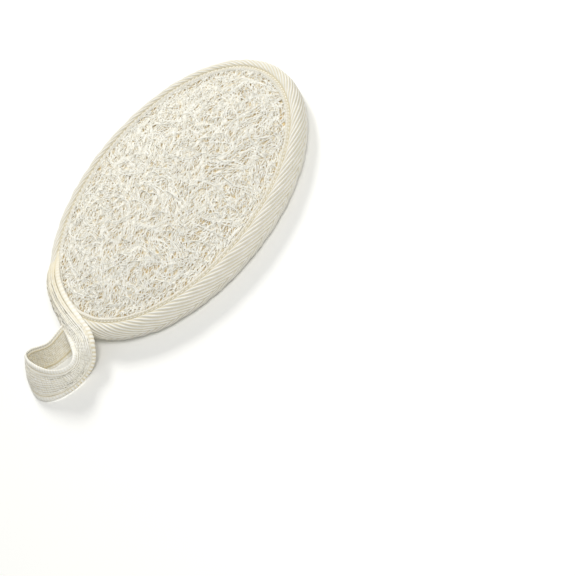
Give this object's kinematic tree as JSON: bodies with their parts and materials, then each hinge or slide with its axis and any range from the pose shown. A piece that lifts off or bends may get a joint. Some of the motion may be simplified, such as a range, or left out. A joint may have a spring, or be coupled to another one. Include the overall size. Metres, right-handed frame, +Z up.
{
  "type": "oval loofah bath pad",
  "caption": "Oval bath sponge pad: natural loofah face over foam, twill-bound rim, elastic hand strap across the back, hanging loop.",
  "frame": {"origin": "middle of the bounding box, loop included, on the surface that the pad lies on", "axes": "+X along the pad's long axis, away from the hanging loop; +Z up out of the loofah face; +Y to the left seen from the loop end"},
  "size_m": [0.2186, 0.1298, 0.021],
  "materials": {
    "loofah": "dry natural fibre net, cream over tan pores, matte",
    "foam": "open-cell foam, matte",
    "back_cotton": "finely ribbed unbleached cotton",
    "elastic": "ribbed knitted elastic",
    "twill_tape": "herringbone cotton twill, cream",
    "thread": "spun sewing thread, cream"
  },
  "bodies": {
    "root": {"loofah_slab": "loofah", "foam_core": "foam", "back_cloth": "back_cotton", "hand_strap": "elastic", "binding_tape": "twill_tape", "hanging_loop": "twill_tape", "stitch_row_front": "thread", "stitch_row_back": "thread"}
  },
  "joints": []
}
